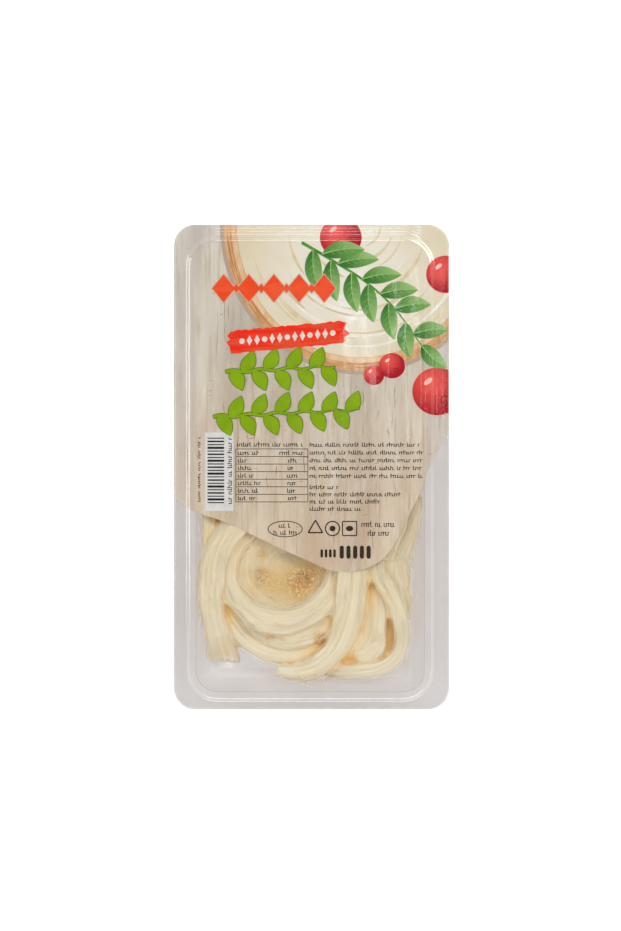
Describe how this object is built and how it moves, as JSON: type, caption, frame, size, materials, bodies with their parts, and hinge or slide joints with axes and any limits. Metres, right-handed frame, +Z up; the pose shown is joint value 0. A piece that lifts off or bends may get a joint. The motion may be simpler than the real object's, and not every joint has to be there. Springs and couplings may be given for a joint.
{
  "type": "packed string cheese",
  "caption": "Sealed clear tray of string cheese: long fibrous strands coiled in crossing loops under a glossy film printed over its upper part, with a clear window below.",
  "frame": {"origin": "centre of the pack's bounding box at the tray's underside", "axes": "+Z up through the lid film, +Y along the pack's long side towards its printed end, +X to the right as the print is read"},
  "size_m": [0.113, 0.199, 0.025],
  "materials": {
    "clear_tray": "clear thermoformed plastic, slightly milky, glossy",
    "lid_film": "thin glossy lidding film, clear in its window",
    "string_cheese": "moist, satin, fibrous cream cheese"
  },
  "bodies": {
    "root": {"tray": "clear_tray", "lid_film": "lid_film", "base_lower_coil": "string_cheese", "base_upper_coil": "string_cheese", "lower_hollow_floor": "string_cheese", "upper_hollow_floor": "string_cheese", "right_side_strand": "string_cheese", "right_upper_strand": "string_cheese", "left_side_strand": "string_cheese", "upper_band": "string_cheese", "inner_coil": "string_cheese", "lower_band": "string_cheese", "under_ring": "string_cheese", "ring_strand": "string_cheese", "edge_wisp": "string_cheese", "folded_strand": "string_cheese", "upper_ring_strand": "string_cheese", "outer_arc": "string_cheese", "tail_strand": "string_cheese", "front_strand": "string_cheese", "crossing_strand": "string_cheese"}
  },
  "joints": []
}
